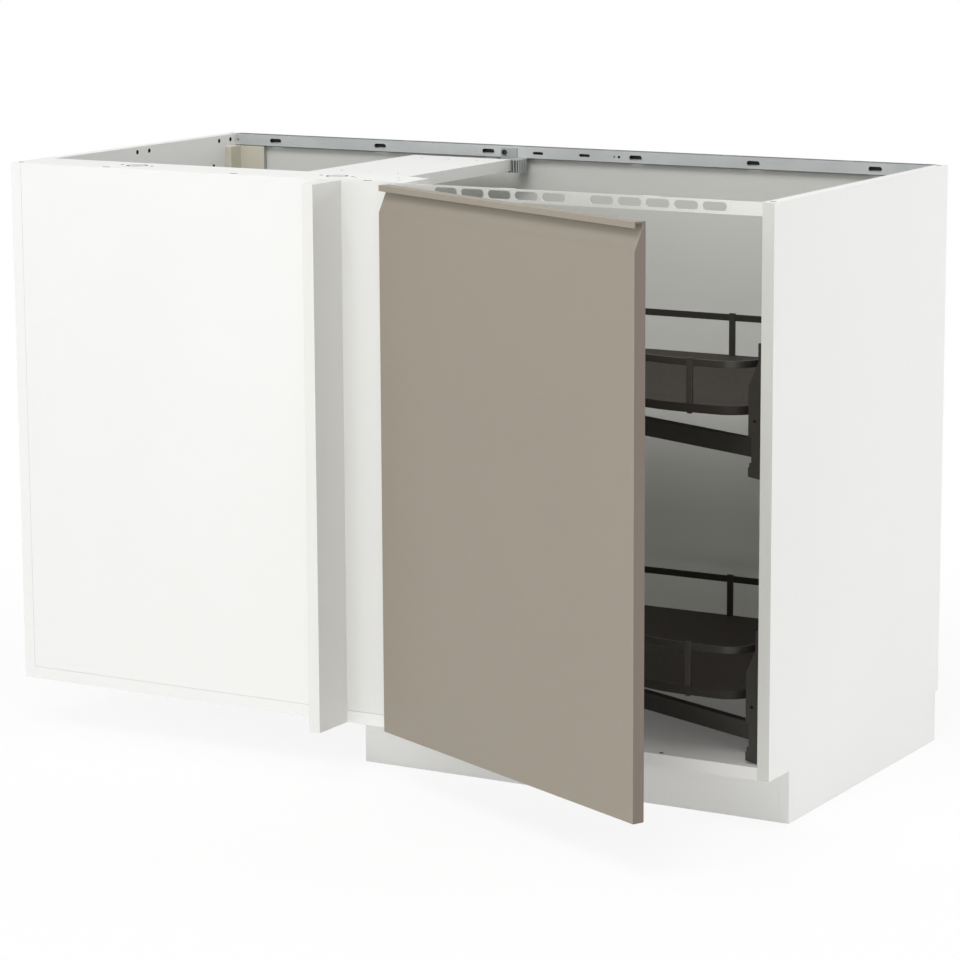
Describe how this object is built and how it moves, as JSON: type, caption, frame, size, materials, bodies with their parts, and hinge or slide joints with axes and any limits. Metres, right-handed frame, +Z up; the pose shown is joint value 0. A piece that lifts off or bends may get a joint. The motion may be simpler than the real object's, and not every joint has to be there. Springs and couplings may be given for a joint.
{
  "type": "corner kitchen base cabinet",
  "caption": "Corner kitchen base cabinet with a blind front half, a hinged grip-edge door and two curved pull-out trays on swing arms.",
  "frame": {"origin": "middle of the whole part's footprint on the floor, with the door open as drawn", "axes": "+X along the cabinet's width towards the door's free side, +Y from the front to the wall, +Z up"},
  "size_m": [1.275, 0.8802, 0.88],
  "materials": {
    "white_board": "white melamine foil on particle board, satin",
    "back_board": "pale grey lacquered hardboard, matte",
    "fitting_cap": "white plastic",
    "dark_steel": "dark oxidised steel",
    "dowel_wood": "plain beech",
    "galvanised_steel": "galvanised, satin",
    "grey_plastic": "moulded, matte",
    "beige_profile": "extruded profile, satin",
    "white_steel": "white powder coat",
    "black_plastic": "moulded, matte",
    "nickel_steel": "nickel plated",
    "door_lacquer": "grey-beige lacquer on fibreboard, matte",
    "clear_bumper": "soft, translucent",
    "dark_painted_steel": "anthracite powder coat, satin",
    "tray_laminate": "anthracite laminate, fine texture",
    "tray_edging": "plastic edge band, satin",
    "dark_plastic": "moulded, satin"
  },
  "bodies": {
    "root": {"left_side_panel": "white_board", "right_side_panel": "white_board", "bottom_panel": "white_board", "back_panel": "back_board", "blind_panel": "white_board", "filler_panel": "white_board", "fixed_front_strip": "white_board", "hinge_post": "white_board", "top_front_board": "white_board", "top_cross_board": "white_board", "round_fittings": "fitting_cap", "fitting_screws": "dark_steel", "edge_fasteners": "dark_steel", "corner_fasteners": "dark_steel", "assembly_dowels": "dowel_wood", "suspension_rail": "galvanised_steel", "rail_bracket": "grey_plastic", "rail_bracket_screw": "dark_steel", "corner_profile_left": "beige_profile", "corner_profile_right": "beige_profile", "ventilated_rail": "white_steel", "vent_rail_screws": "galvanised_steel", "leg_sockets": "black_plastic", "leg_feet": "black_plastic", "plinth_front": "white_board", "plinth_side": "white_board", "plinth_clips": "grey_plastic", "hinge_arms": "nickel_steel", "hinge_mounting_plates": "nickel_steel", "hinge_plate_screws": "nickel_steel", "lower_wall_bracket": "dark_painted_steel", "lower_bracket_screws": "dark_steel", "lower_arm_pin": "dark_steel", "lower_arm_washers": "black_plastic", "upper_wall_bracket": "dark_painted_steel", "upper_bracket_screws": "dark_steel", "upper_arm_pin": "dark_steel", "upper_arm_washers": "black_plastic"},
    "hinge_links": {"hinge_links": "nickel_steel", "link_pins": "nickel_steel"},
    "door": {"door_panel": "door_lacquer", "door_bumpers": "clear_bumper", "hinge_cups": "nickel_steel", "cup_screws": "nickel_steel", "cup_pins": "nickel_steel"},
    "lower_arm": {"lower_swing_arm": "dark_painted_steel"},
    "lower_tray": {"lower_tray_board": "tray_laminate", "lower_tray_edge": "tray_edging", "lower_tray_pivot": "dark_painted_steel", "lower_gallery_rail": "dark_painted_steel", "lower_gallery_posts": "dark_plastic", "lower_post_feet": "dark_plastic"},
    "upper_arm": {"upper_swing_arm": "dark_painted_steel"},
    "upper_tray": {"upper_tray_board": "tray_laminate", "upper_tray_edge": "tray_edging", "upper_tray_pivot": "dark_painted_steel", "upper_gallery_rail": "dark_painted_steel", "upper_gallery_posts": "dark_plastic", "upper_post_feet": "dark_plastic"}
  },
  "joints": [
    {"name": "hinge_link_swing", "type": "hinge", "parent": "root", "child": "hinge_links", "pos_m": [0.022, -0.16795, 0.48], "axis": [0, 0, -1], "range_deg": [-25.2, 0]},
    {"name": "door_swing", "type": "hinge", "parent": "hinge_links", "child": "door", "pos_m": [0.04435, -0.18057, 0.48], "axis": [0, 0, -1], "range_deg": [0, 85]},
    {"name": "lower_arm_swing", "type": "hinge", "parent": "root", "child": "lower_arm", "pos_m": [0.6015, -0.11585, 0.1235], "axis": [0, 0, 1], "range_deg": [0, 90]},
    {"name": "lower_tray_turn", "type": "hinge", "parent": "lower_arm", "child": "lower_tray", "pos_m": [0.23102, 0.03496, 0.1495], "axis": [0, 0, -1], "range_deg": [0, 200]},
    {"name": "upper_arm_swing", "type": "hinge", "parent": "root", "child": "upper_arm", "pos_m": [0.6015, -0.11585, 0.5235], "axis": [0, 0, 1], "range_deg": [0, 90]},
    {"name": "upper_tray_turn", "type": "hinge", "parent": "upper_arm", "child": "upper_tray", "pos_m": [0.23102, 0.03496, 0.5495], "axis": [0, 0, -1], "range_deg": [0, 200]}
  ],
  "couplings": [
    {"joint": "lower_arm_swing", "follows": "door_swing", "ratio": 1.0588},
    {"joint": "lower_tray_turn", "follows": "door_swing", "ratio": 2.3529},
    {"joint": "upper_arm_swing", "follows": "door_swing", "ratio": 1.0588},
    {"joint": "upper_tray_turn", "follows": "door_swing", "ratio": 2.3529}
  ]
}
